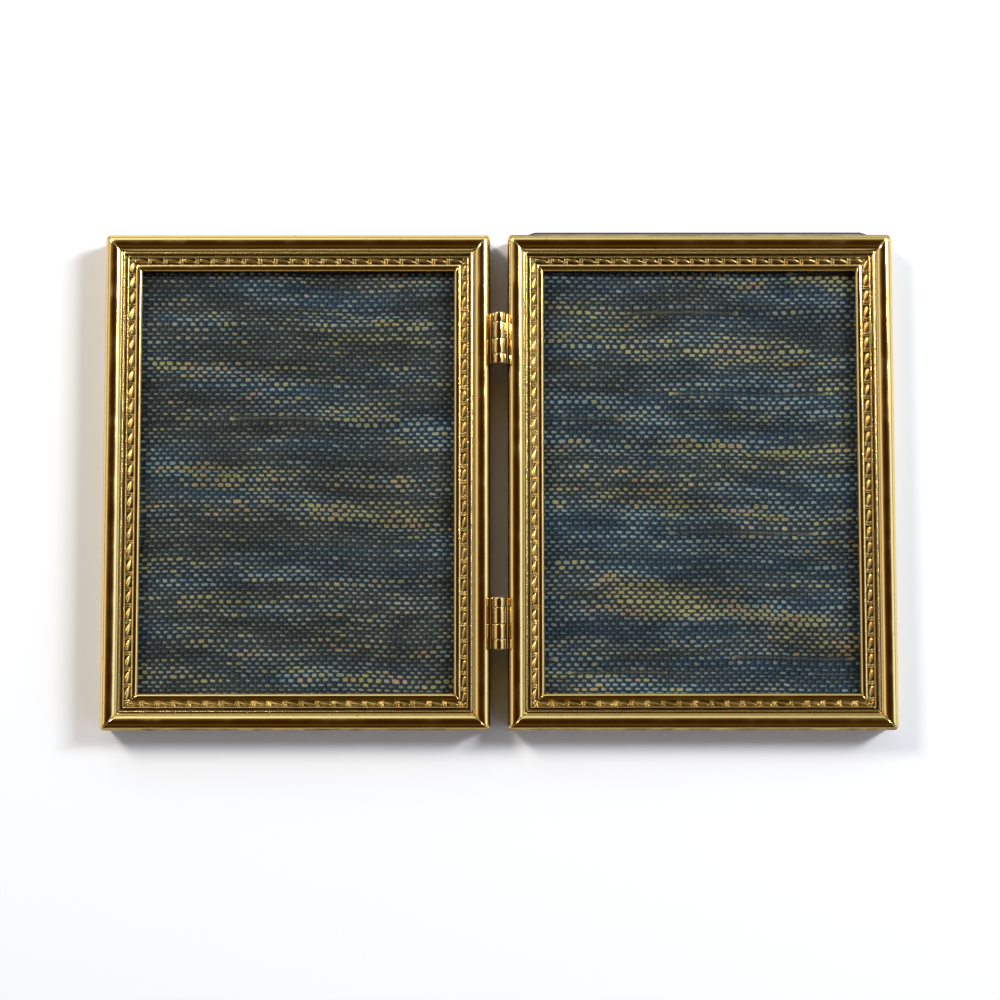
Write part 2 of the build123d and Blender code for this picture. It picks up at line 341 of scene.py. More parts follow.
@dataclass(frozen=True)
class SlubCloth:
    """Plain-woven bookbinder's cloth: dark slate-blue warp over uneven cream and tan weft.

    The eye sees rows of short pale dashes on a dark ground. Thick stretches of weft make brighter,
    yellower blocks, and thin ones sink into the ground."""

    name: str = "slub_weave_cloth"
    ground: str = "1B2B3A"
    ground_warm: str = "24292B"
    warp: str = "13181A"
    dash: str = "6B6C60"
    slub: str = "757049"
    rust: str = "7B674C"
    cool_dash: str = "5F6A67"
    roughness: float = 0.86
    gloss: float = 0.08
    fibre: float = 0.16  # mm, width of a fibre bundle in a yarn
    fibre_relief: float = 0.03  # mm
    patch: tuple[float, float] = (11.0, 6.0)  # cells, size of a lighter or darker patch
    dye_changes: float = 0.22  # how often the dye changes in a cell
    wobbles: float = 4.5  # how often the outline of a dash wobbles in a cell
    ragged: float = 2.8
    # Half a dash in cells: the least, and what chance, a thick yarn and a float add to it.
    half_long: tuple[float, ...] = (0.18, 0.12, 0.08, 0.5)
    half_high: tuple[float, ...] = (0.15, 0.09, 0.19, -0.2)
    slant: float = 0.5

    def build(self) -> Material:
        """Makes the material.

        The yarn attribute is the weft's thickness from 0 to 1. Above 1 the weft floats over
        several warps at a time, as a thin line. The tone attribute runs from blue to tan.

        Returns:
            The material.
        """
        material, tree = new_material(self.name)
        weave = add(tree, "UVMap", uv_map="weave")[0]
        yarn = add(tree, "Attribute", attribute_name="yarn")["Fac"]
        tone = add(tree, "Attribute", attribute_name="tone")["Fac"]
        wobble = add(tree, "TexNoise", {"Vector": weave, "Scale": self.wobbles, "Detail": 2.0})[0]
        thick = add(tree, "Math", (yarn, 1.0), operation="MINIMUM")[0]
        thick = add(tree, "Math", (thick, 1.5), operation="POWER")[0]
        floating = add(tree, "MapRange", (yarn, 1.0, 1.4, 0.0, 1.0), **SMOOTH)[0]
        side, up, roll = self.find_cell(tree, weave)
        dash = self.shape_dash(tree, (side, up), roll, thick, floating, wobble)
        pale = self.dye_weft(tree, weave, roll, thick, tone)
        dark = self.dye_ground(tree, weave, tone, wobble)
        woven = add(tree, "Mix", {0: dash, 6: dark, 7: pale}, data_type="RGBA")[2]
        place_at = add(tree, "TexCoord")["Object"]
        fibres = add(tree, "TexNoise", {"Vector": place_at, "Scale": 1 / (self.fibre * MM),
                                        "Detail": 1.0})[0]
        scale = (1 / self.patch[0], 1 / self.patch[1], 0.0)
        patch_at = add(tree, "VectorMath", (weave, scale), operation="MULTIPLY")[0]
        patches = add(tree, "TexNoise", {"Vector": patch_at, "Scale": 1.0, "Detail": 2.0})[0]
        fibre_shade = add(tree, "MapRange", (fibres, 0.25, 0.75, 0.72, 1.22), **SMOOTH)[0]
        patch_shade = add(tree, "MapRange", (patches, 0.3, 0.7, 0.7, 1.3), **SMOOTH)[0]
        shade = add(tree, "Math", (fibre_shade, patch_shade), operation="MULTIPLY")[0]
        colour = add(tree, "VectorMath", {0: woven, "Scale": shade}, operation="SCALE")[0]
        bump = add(tree, "Bump", {"Height": fibres, "Strength": 0.5,
                                  "Distance": self.fibre_relief * MM})[0]
        shader = add(tree, "BsdfPrincipled", {
            "Base Color": colour, "Roughness": self.roughness, "Specular IOR Level": self.gloss,
            "Normal": bump})
        add(tree, "OutputMaterial", (shader[0],))
        return material

    def find_cell(self, tree: NodeTree, weave: NodeSocket) -> tuple:
        """Finds the cell of the weave that a point lies in, half a cell off in every other row.

        Args:
            tree: The material's node tree.
            weave: The place counted in cells.

        Returns:
            Place across and up from the middle of the cell, and three chances for that cell.
        """
        at = add(tree, "SeparateXYZ", (weave,))
        row = add(tree, "Math", (at[1],), operation="FLOOR")[0]
        odd = add(tree, "Math", (row, 2.0), operation="MODULO")[0]
        across = add(tree, "Math", (odd, 0.5, at[0]), operation="MULTIPLY_ADD")[0]
        column = add(tree, "Math", (across,), operation="FLOOR")[0]
        offsets = []
        for value, whole in ((across, column), (at[1], row)):
            rest = add(tree, "Math", (value, whole), operation="SUBTRACT")[0]
            offsets.append(add(tree, "Math", (rest, 0.5), operation="SUBTRACT")[0])
        cell = add(tree, "CombineXYZ", (column, row))[0]
        chance = add(tree, "TexWhiteNoise", {"Vector": cell}, noise_dimensions="2D")["Color"]
        return (*offsets, add(tree, "SeparateColor", (chance,)))

    def shape_dash(self, tree: NodeTree, offsets: tuple, roll: NodeOutputs, thick: NodeSocket,
                   floating: NodeSocket, wobble: NodeSocket) -> NodeSocket:
        """Draws a dash: a ragged, slightly slanted box with round corners, in its cell.

        A point is inside where (across / half length)^4 + (up / half height)^3, with a wobble
        added, is small.

        Args:
            tree: The material's node tree.
            offsets: Place across and up from the middle of the cell.
            roll: Three chances for the cell.
            thick: Thickness of the weft.
            floating: How far the weft floats.
            wobble: Noise that makes the outline ragged.

        Returns:
            How much of the weft's colour shows.
        """
        side, up = offsets
        slant = add(tree, "Math", (roll[2], self.slant, -self.slant / 2),
                    operation="MULTIPLY_ADD")[0]
        tilted = add(tree, "Math", (side, slant, up), operation="MULTIPLY_ADD")[0]
        outline = add(tree, "Math", (wobble, self.ragged, -self.ragged / 2),
                      operation="MULTIPLY_ADD")[0]
        spans = ((side, roll[0], self.half_long, 4.0), (tilted, roll[1], self.half_high, 3.0))
        for offset, chance, (half, *gains), power in spans:
            for source, gain in zip((chance, thick, floating), gains):
                half = add(tree, "Math", (source, gain, half), operation="MULTIPLY_ADD")[0]
            share = add(tree, "Math", (offset,), operation="ABSOLUTE")[0]
            share = add(tree, "Math", (share, half), operation="DIVIDE")[0]
            share = add(tree, "Math", (share, power), operation="POWER")[0]
            outline = add(tree, "Math", (outline, share), operation="ADD")[0]
        inside = add(tree, "MapRange", (outline, 0.5, 1.7, 1.0, 0.0), **SMOOTH)[0]
        weight = add(tree, "Math", (roll[2], 0.45, thick), operation="MULTIPLY_ADD")[0]
        weight = add(tree, "MapRange", (weight, 0.0, 0.8, 0.3, 1.0), **SMOOTH)[0]
        sunk = add(tree, "Math", (floating, -0.78, 1.0), operation="MULTIPLY_ADD")[0]
        weight = add(tree, "Math", (weight, sunk), operation="MULTIPLY")[0]
        return add(tree, "Math", (inside, weight), operation="MULTIPLY")[0]

    def dye_weft(self, tree: NodeTree, weave: NodeSocket, roll: NodeOutputs, thick: NodeSocket,
                 tone: NodeSocket) -> NodeSocket:
        """Colours the weft: cool or cream, and khaki or tan where it is thick and warm.

        Args:
            tree: The material's node tree.
            weave: The place counted in cells.
            roll: Three chances for the cell.
            thick: Thickness of the weft.
            tone: Colour of the yarns, from blue to tan.

        Returns:
            The colour.
        """
        warm = add(tree, "Math", (tone, 0.25), operation="SUBTRACT")[0]
        warm = add(tree, "Math", (roll[1], 0.5, warm), operation="MULTIPLY_ADD")[0]
        rich = add(tree, "Math", (thick, warm), operation="ADD")[0]
        dye = add(tree, "TexNoise", {"Vector": weave, "Scale": self.dye_changes,
                                     "Detail": 1.0})[0]
        colours = []
        for value, low, high, first, second in (
                (warm, 0.15, 0.6, self.cool_dash, self.dash),
                (dye, 0.5, 0.62, self.slub, self.rust)):
            share = add(tree, "MapRange", (value, low, high, 0.0, 1.0), **SMOOTH)[0]
            colours.append(add(tree, "Mix", {0: share, 6: linear(first), 7: linear(second)},
                               data_type="RGBA")[2])
        share = add(tree, "MapRange", (rich, 0.95, 1.35, 0.0, 1.0), **SMOOTH)[0]
        return add(tree, "Mix", {0: share, 6: colours[0], 7: colours[1]}, data_type="RGBA")[2]

    def dye_ground(self, tree: NodeTree, weave: NodeSocket, tone: NodeSocket,
                   wobble: NodeSocket) -> NodeSocket:
        """Colours the ground between dashes: blue to grey, with two darker warps in each cell.

        Args:
            tree: The material's node tree.
            weave: The place counted in cells.
            tone: Colour of the yarns, from blue to tan.
            wobble: Noise that makes the warps uneven.

        Returns:
            The colour.
        """
        share = add(tree, "MapRange", (tone, 0.25, 0.75, 0.0, 1.0), **SMOOTH)[0]
        base = add(tree, "Mix", {0: share, 6: linear(self.ground), 7: linear(self.ground_warm)},
                   data_type="RGBA")[2]
        across = add(tree, "SeparateXYZ", (weave,))[0]
        wave = add(tree, "Math", (across, 4 * math.pi), operation="MULTIPLY")[0]
        wave = add(tree, "Math", (wave,), operation="SINE")[0]
        wave = add(tree, "Math", (wave, wobble), operation="ADD")[0]
        share = add(tree, "MapRange", (wave, -0.2, 1.5, 0.0, 0.8), **SMOOTH)[0]
        return add(tree, "Mix", {0: share, 6: base, 7: linear(self.warp)}, data_type="RGBA")[2]


@dataclass(frozen=True)
class Velvet:
    """Cotton velvet with a short pile: nearly black face on, with a pale bloom at a slant."""

    name: str = "short_pile_velvet"
    pile: str = "2E2622"
    brushed: str = "352C27"
    bloom: str = "8A7A6C"
    roughness: float = 0.92
    sheen: float = 0.35
    sheen_roughness: float = 0.4
    patch: float = 9.0  # mm, width of a brushed patch
    tuft: float = 0.22  # mm, spacing of tufts, drawn coarser than the real pile so that it shows
    tuft_relief: float = 0.06  # mm

    def build(self) -> Material:
        """Makes the material.

        Returns:
            The material.
        """
        material, tree = new_material(self.name)
        place_at = add(tree, "TexCoord")["Object"]
        patches, tufts = (
            add(tree, "TexNoise", {"Vector": place_at, "Scale": 1 / (size * MM), "Detail": fine})[0]
            for size, fine in ((self.patch, 3.0), (self.tuft, 1.0)))
        lie = add(tree, "MapRange", (patches, 0.3, 0.8, 0.0, 1.0), **SMOOTH)[0]
        colour = add(tree, "Mix", {0: lie, 6: linear(self.pile), 7: linear(self.brushed)},
                     data_type="RGBA")[2]
        bump = add(tree, "Bump", {"Height": tufts, "Strength": 0.6,
                                  "Distance": self.tuft_relief * MM})[0]
        shader = add(tree, "BsdfPrincipled", {
            "Base Color": colour, "Roughness": self.roughness, "Sheen Weight": self.sheen,
            "Sheen Roughness": self.sheen_roughness, "Sheen Tint": linear(self.bloom),
            "Normal": bump})
        add(tree, "OutputMaterial", (shader[0],))
        return material


@dataclass(frozen=True)
class Greyboard:
    """Pressed grey card: matt, with pale and dark fibres in it."""

    name: str = "pressed_greyboard"
    pulp: str = "8E877B"
    fleck: str = "6B655B"
    roughness: float = 0.93
    gloss: float = 0.3
    fibre: tuple[float, float] = (1.6, 0.25)  # mm, length and width of a fleck
    relief: float = 0.03  # mm

    def build(self) -> Material:
        """Makes the material.

        Returns:
            The material.
        """
        material, tree = new_material(self.name)
        length, width = (1 / (size * MM) for size in self.fibre)
        at = add(tree, "VectorMath", (add(tree, "TexCoord")["Object"], (length, width, width)),
                 operation="MULTIPLY")[0]
        flecks = add(tree, "TexNoise", {"Vector": at, "Scale": 1.0, "Detail": 3.0})[0]
        share = add(tree, "MapRange", (flecks, 0.5, 0.75, 0.0, 1.0), **SMOOTH)[0]
        colour = add(tree, "Mix", {0: share, 6: linear(self.pulp), 7: linear(self.fleck)},
                     data_type="RGBA")[2]
        bump = add(tree, "Bump", {"Height": flecks, "Strength": 0.4,
                                  "Distance": self.relief * MM})[0]
        shader = add(tree, "BsdfPrincipled", {
            "Base Color": colour, "Roughness": self.roughness, "Specular IOR Level": self.gloss,
            "Normal": bump})
        add(tree, "OutputMaterial", (shader[0],))
        return material


@dataclass(frozen=True)
class MattPaper:
    """White paper under the frames. It is whiter to what looks at it directly than to the light
    it sends on, and further off it fades into a plain white of strength 1, so that it meets the
    white behind it without a line."""

    name: str = "matt_white_paper"
    shown: str = "FFFFFF"
    sent_on: str = "E6E6E6"
    fades: tuple[float, float] = (0.16, 0.55)  # m from the middle

    def build(self) -> Material:
        """Makes the material.

        Returns:
            The material.
        """
        material, tree = new_material(self.name)
        path = add(tree, "LightPath")
        direct = path["Is Camera Ray"]
        for ray in ("Is Glossy Ray", "Is Transmission Ray"):
            direct = add(tree, "Math", (direct, path[ray]), operation="MAXIMUM")[0]
        plain = add(tree, "BsdfDiffuse", (linear(self.sent_on),))[0]
        paper = add(tree, "BsdfDiffuse", (linear(self.shown),))[0]
        white = add(tree, "Emission", (linear(self.shown), 1.0))[0]
        distance = add(tree, "VectorMath", (add(tree, "TexCoord")["Object"],),
                       operation="LENGTH")[1]
        far = add(tree, "MapRange", (distance, *self.fades, 0.0, 1.0), **SMOOTH)[0]
        seen = add(tree, "MixShader", (far, paper, white))[0]
        surface = add(tree, "MixShader", (direct, plain, seen))[0]
        add(tree, "OutputMaterial", (surface,))
        return material


@dataclass(frozen=True)
class StampedBand:
    """The stamped ornament: a swooping leaf, then two ribs bowed round its tip. Sizes in mm."""

    pitch: float = 3.45
    leaf_length: float = 2.5
    leaf_half_width: float = 0.5
    leaf_from: float = -0.26  # place across the band where a leaf starts
    leaf_sweep: float = 0.6  # how far across it has swept at its tip
    leaf_rise: float = 0.3
    ribs_at: tuple[float, float] = (2.7, 3.16)
    rib_bow: float = 0.26
    rib_half: float = 0.13
    rib_rise: float = 0.24
    ground_depth: float = 0.14

    def rise(self, across: np.ndarray, along: np.ndarray, half_width: float) -> np.ndarray:
        """Height of the ornament over the floor of its band.

        Along a leaf, its middle line swoops across the band and its width is that of a drop,
        blunt at the start and pointed at the end. Across it, the leaf is a parabola. A rib is a
        bell curve on a line bowed along the band. Both sink towards the band's sides, and the
        higher shows.

        Args:
            across: Distance from the middle of the band, in mm.
            along: Distance along the rail, in mm.
            half_width: Half the width of the band.

        Returns:
            The height in mm, from 0 to about the leaf's rise.
        """
        step = np.mod(along, self.pitch)
        share = np.clip(step / self.leaf_length, 0, 1)
        side = across - self.leaf_from - self.leaf_sweep * share ** 1.5
        width = self.leaf_half_width * 2.2 * share ** 0.5 * (1 - share) ** 0.75
        taper = np.clip(1 - (across / half_width) ** 6, 0, 1)
        round_top = np.clip(1 - (side / (width + 1e-6)) ** 2, 0, 1)
        leaf = self.leaf_rise * round_top * np.sqrt(width / self.leaf_half_width) * taper
        bows = [step - at + self.rib_bow * (across / half_width) ** 2 for at in self.ribs_at]
        ribs = [np.exp(-(bow / self.rib_half) ** 2) * self.rib_rise * taper for bow in bows]
        return np.maximum.reduce([leaf, *ribs])


@dataclass(frozen=True)
class Moulding:
    """Section of the rolled rail, in mm. A place counts across the face from the outer edge, and
    a level up from the back face."""

    face: float = 7.9
    corner_radius: float = 1.0
    sheet: float = 0.5
    dome_at: float = 1.85
    dome_radius: float = 2.0
    crest: float = 8.0
    dome_outer: float = 67.0  # degrees from straight up where the dome meets the side wall
    dome_inner: float = -50.0
    cove_floor: tuple[float, float] = (3.62, 6.88)
    cove_end: tuple[float, float] = (3.96, 7.14)
    arris: tuple[float, float] = (4.08, 7.2)
    arris_end: tuple[float, float] = (4.2, 7.13)
    arris_half: float = 0.12
    quirk_start: tuple[float, float] = (4.24, 6.73)
    quirk: tuple[float, float] = (4.44, 6.58)
    quirk_end: tuple[float, float] = (4.65, 6.68)
    cord: tuple[float, float] = (4.88, 6.9)
    cord_half: float = 0.21
    cord_foot: float = 6.56
    band_start: tuple[float, float] = (5.1, 6.46)
    band_end: tuple[float, float] = (6.32, 6.16)
    inner_crest: tuple[float, float] = (7.15, 6.45)
    inner_radius: float = 1.2
    lip_radius: float = 0.75
    lip_rear: float = 5.6
    bearing: float = 0.5
    channel_roof: float = 5.7
    mouth: float = 4.2
    fold_radius: float = 0.8
    flange_reach: float = 6.8
    wall_step: float = 0.25  # how far under the dome the side wall has its last point

    @property
    def dome_centre(self) -> tuple[float, float]:
        """Place and level of the dome's centre."""
        return self.dome_at, self.crest - self.dome_radius

    @property
    def band_half(self) -> float:
        """Half the width of the stamped band."""
        return (self.band_end[0] - self.band_start[0]) / 2

    @property
    def band_middle(self) -> float:
        """Place of the middle of the stamped band."""
        return self.band_start[0] + self.band_half

    def front(self) -> np.ndarray:
        """The face, from the side wall over the dome to the lip.

        The cord is half an ellipse: its place follows a cosine and its level a sine.

        Returns:
            Rows of place, level, and how deep the point lies in a hollow from 0 to 1.
        """
        dome = arc(self.dome_centre, self.dome_radius, self.dome_outer, self.dome_inner, 14)
        turn = np.linspace(np.pi, 0, 6)
        across, level = self.cord
        cord = np.stack([across + self.cord_half * np.cos(turn),
                         self.cord_foot + (level - self.cord_foot) * np.sin(turn)], axis=1)
        across, level = self.inner_crest
        parts = [(dome, 0),
                 (bend(tuple(dome[-1]), self.cove_floor, self.cove_end, 7)[1:], 0.1),
                 (np.array([self.arris, self.arris_end]), 0),
                 (bend(self.quirk_start, self.quirk, self.quirk_end, 4), 1),
                 (cord, 0),
                 (np.linspace(self.band_start, self.band_end, 17), 0.6),
                 (arc((across, level - self.inner_radius), self.inner_radius, 40, 0, 6), 0),
                 (arc((across, level - self.lip_radius), self.lip_radius, -12, -90, 7), 0)]
        return np.vstack([np.insert(points, 2, deep, axis=1) for points, deep in parts])

    def rear(self, open_back: bool) -> np.ndarray:
        """The inside of the rail, from the lip back to the outer face of the side wall.

        Args:
            open_back: True for the top rail, whose wall stops above the insert.

        Returns:
            Rows of place, level and how deep the point lies in a hollow.
        """
        inner = self.dome_radius - self.sheet
        hollow_end = math.degrees(math.asin((self.dome_at - self.sheet) / inner))
        bearing = self.face - self.bearing
        seat = [(self.face, self.lip_rear), (bearing, self.lip_rear),
                (bearing - (self.channel_roof - self.lip_rear), self.channel_roof),
                (self.dome_at + inner, self.channel_roof)]
        if open_back:
            wall = [(self.sheet, self.mouth), (0, self.mouth)]
        else:
            fold, sheet = self.fold_radius, self.sheet
            wall = [*bend((sheet, fold), (sheet, sheet), (fold, sheet), 4),
                    (self.flange_reach, sheet), (self.flange_reach, 0),
                    *bend((fold, 0), (0, 0), (0, fold), 5)]
        drop = self.dome_radius * math.cos(math.radians(self.dome_outer))
        top = self.dome_centre[1] + drop - self.wall_step
        points = np.vstack([seat, arc(self.dome_centre, inner, -90, hollow_end, 5), wall,
                            [(0, top)]])
        return np.insert(points, 2, 0.5, axis=1)


@dataclass
class Rail:
    """One mitred length of moulding. Sizes in mm."""

    side: Side
    edge: Edge
    moulding: Moulding
    band: StampedBand
    low: np.ndarray  # corners of the right-hand frame's outline
    high: np.ndarray
    seed: int
    step: float = 0.092  # along the rail between two sections
    mitre_steps: tuple[float, ...] = (0, 0.03, 0.07, 0.12, 0.18, 0.26, 0.36, 0.48, 0.6)
    mitre_dip: float = 0.14
    mitre_reach: float = 0.12
    bead_pitch: float = 0.55
    bead_rise: float = 0.03
    bead_stray: float = 0.3
    leaf_stray: float = 0.12
    leaf_wear: float = 0.18  # share by which the leaves' rise varies
    wave: float = 0.018
    wave_width: float = 3.7
    lump: float = 0.045
    lump_reach: float = 1.25  # to either side of the band's middle
    shaded_edge_width: float = 0.62  # of the outer edge that gets painted shade, on some rails
    mitre_film_and_edge_shade: float = 0.9  # how brown the mitres are, and how dark the painted shade on that edge is
    gap_wall_shade: float = 1.0  # painted shade: how brown the side wall is that faces the other frame
    ground_film: float = 0.95  # how brown the band is between its leaves
    leaf_film: float = 0.12
    bottom_leaf_film_and_shade: float = 0.65  # on the bottom rail, where the extra brown is painted shade

    @property
    def name(self) -> str:
        """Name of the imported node."""
        return f"{self.side.name}_{self.edge.name}".lower()

    @property
    def paints_edge_shade(self) -> bool:
        """Whether the outer edge gets painted shade: at the foot, and by the proud back."""
        proud = (self.side, self.edge) == (Side.RIGHT, Edge.TOP_RAIL)
        return proud or self.edge is Edge.BOTTOM_RAIL

    @property
    def run(self) -> float:
        """Length of the outer edge."""
        return float((self.high - self.low)[0 if self.edge.value[2] % 2 else 1])

    def stations(self) -> np.ndarray:
        """Shares of the rail's length at which its section stands, closer together at the mitres.

        Returns:
            Shares from 0 to 1.
        """
        *close, first = np.array(self.mitre_steps) / self.run
        middle = np.linspace(first, 1 - first, int(self.run / self.step))
        return np.concatenate([close, middle, 1 - np.array(close[::-1])])

    def paths(self, place_across: np.ndarray, share: np.ndarray) -> tuple[np.ndarray, np.ndarray]:
        """Where each point of the section runs, seen from the front.

        A point further in than the corner radius runs straight between the two mitres. One nearer
        the edge also rounds half of each corner, on an arc about the centre of that corner.

        Args:
            place_across: Places of the section's points, in mm from the outer edge.
            share: Shares of the run.

        Returns:
            Distance in from the outer edge and distance along it, one row for each share.
        """
        radius = self.moulding.corner_radius
        small = np.clip(radius - place_across, 0, None)[None]
        inner = np.maximum(place_across, radius)[None]
        turned = small * np.pi / 4
        far = share[:, None] * (self.run - 2 * inner + 2 * turned)
        along = inner + far - turned
        safe = np.maximum(small, 1e-9)
        before = np.clip((turned - far) / safe, 0, np.pi / 4)
        after = np.clip((far - turned - (self.run - 2 * inner)) / safe, 0, np.pi / 4)
        angle = np.where(small > 0, before + after, 0)
        bent = angle > 0
        along = np.where(before * bent > 0, radius - small * np.sin(angle), along)
        along = np.where(after * bent > 0, self.run - radius + small * np.sin(angle), along)
        across = np.where(bent, radius - small * np.cos(angle), place_across[None])
        return across, along

    def ornament(self, across: np.ndarray, along: np.ndarray) -> np.ndarray:
        """Height of this rail's leaves and ribs, which stray and are worn a little unevenly.

        Args:
            across: Distance in from the outer edge.
            along: Distance along it.

        Returns:
            The height over the floor of the band.
        """
        phase = np.random.default_rng(self.seed).uniform(0, self.band.pitch)
        stray = self.leaf_stray * wander(along, (9.1, 5.3, 17.0), self.seed + 1)
        forward = along if self.side is Side.RIGHT else -along
        rise = self.band.rise(across - self.moulding.band_middle, forward + phase + stray,
                              self.moulding.band_half)
        return rise * (1 + self.leaf_wear * wander(along, (7.7, 13.0, 4.1), self.seed + 2))

    def unevenness(self, across: np.ndarray, along: np.ndarray) -> np.ndarray:
        """Fine relief of the face.

        Small lumps cover the stamped part: two uneven lines at a slant, multiplied. A cosine
        makes beads along the arris, and a slow wave runs over the dome.

        Args:
            across: Distance in from the outer edge.
            along: Distance along it.

        Returns:
            The height that it adds.
        """
        lumps = wander(along + 0.7 * across, (0.83, 0.57, 1.31), self.seed + 5)
        lumps = lumps * wander(across - 0.3 * along, (0.71, 1.13, 0.9), self.seed + 6)
        stamped = np.exp(-((across - self.moulding.band_middle) / self.lump_reach) ** 8)
        strayed = along + self.bead_stray * wander(along, (3.1, 7.0, 1.9), self.seed + 3)
        beads = np.cos(2 * np.pi * strayed / self.bead_pitch)
        on_arris = np.exp(-((across - self.moulding.arris[0]) / self.moulding.arris_half) ** 2)
        slow = wander(along, (61.0, 23.0, 11.0, 6.1), self.seed + 4)
        slow *= (across < self.wave_width) * np.sin(np.pi * across / self.wave_width)
        return self.lump * stamped * lumps + self.bead_rise * on_arris * beads + self.wave * slow

    def build(self) -> Object:
        """Carries the section along the rail and stamps the band.

        The level of a point is its level in the section, plus the ornament's rise and the fine
        relief, less a dip that fades with distance from a mitre. Film lies in the section's
        hollows, between the leaves and in the mitres. Brown film is also painted shade on the outer
        edge of some rails, on the side wall that faces the other frame, and on the bottom rail's
        leaves.

        Returns:
            The new object.
        """
        front, rear = self.moulding.front(), self.moulding.rear(self.edge is Edge.TOP_RAIL)
        section = np.vstack([front, rear])
        across, along = self.paths(section[:, 0], self.stations())
        facing = np.arange(len(section)) < len(front)
        off_middle = np.abs(section[:, 0] - self.moulding.band_middle)
        in_band = facing & (off_middle <= self.moulding.band_half + 1e-6)
        rise = self.ornament(across, along)
        to_mitre = np.minimum(along - across, self.run - along - across) / math.sqrt(2)
        near_mitre = facing * np.exp(-np.clip(to_mitre, 0, None) / self.mitre_reach)
        level = section[:, 1] + in_band * (rise - self.band.ground_depth)
        level += facing * self.unevenness(across, along) - self.mitre_dip * near_mitre
        bare = np.clip(rise / (0.5 * self.band.leaf_rise), 0, 1)
        # The bottom rail's leaves get more film, as painted shade.
        on_leaf = self.bottom_leaf_film_and_shade if self.edge is Edge.BOTTOM_RAIL else self.leaf_film
        film = np.where(in_band, self.ground_film + (on_leaf - self.ground_film) * bare,
                        section[:, 2])
        film = np.maximum(film, self.mitre_film_and_edge_shade * near_mitre)
        # Painted shade: brown film along the outer edge, which darkens what it mirrors.
        if self.paints_edge_shade:
            edge_shade = np.clip((self.shaded_edge_width - across) / (0.4 * self.shaded_edge_width), 0, 1)
            film = np.maximum(film, facing * self.mitre_film_and_edge_shade * edge_shade)
        # Painted shade: brown film on the side wall that faces the other frame across the gap.
        if self.edge is Edge.HINGE_RAIL:
            film = np.where(~facing & (section[:, 0] < 1e-6), self.gap_wall_shade, film)
        piece = self.into_mesh(across, along, level)
        give_attribute(piece, "hollow", film)
        give_attribute(piece, "stamped", np.broadcast_to(in_band, across.shape))
        return piece

    def into_mesh(self, across: np.ndarray, along: np.ndarray, level: np.ndarray) -> Object:
        """Turns the rail to its edge of the frame, mirrors it for the left, and makes its mesh.

        Args:
            across: Distance in from the outer edge.
            along: Distance along the outer edge.
            level: Height over the back face.

        Returns:
            The new object.
        """
        *corner, quarter = self.edge.value
        turn = quarter * np.pi / 2
        start = np.where(corner, self.high, self.low)
        x = start[0] + across * np.cos(turn) - along * np.sin(turn)
        y = start[1] + across * np.sin(turn) + along * np.cos(turn)
        points = np.stack([self.side.value * x, y, level], axis=-1).reshape(-1, 3)
        quads, caps = sweep_faces(*across.shape, mirrored=self.side is Side.LEFT)
        girth = np.cumsum(np.hypot(np.gradient(across[0]), np.gradient(level[0])))
        uv = np.stack([along, np.broadcast_to(girth, along.shape)], axis=-1).reshape(-1, 2)
        return make_piece(f"{self.name}_moulding", points, quads, caps, uv)


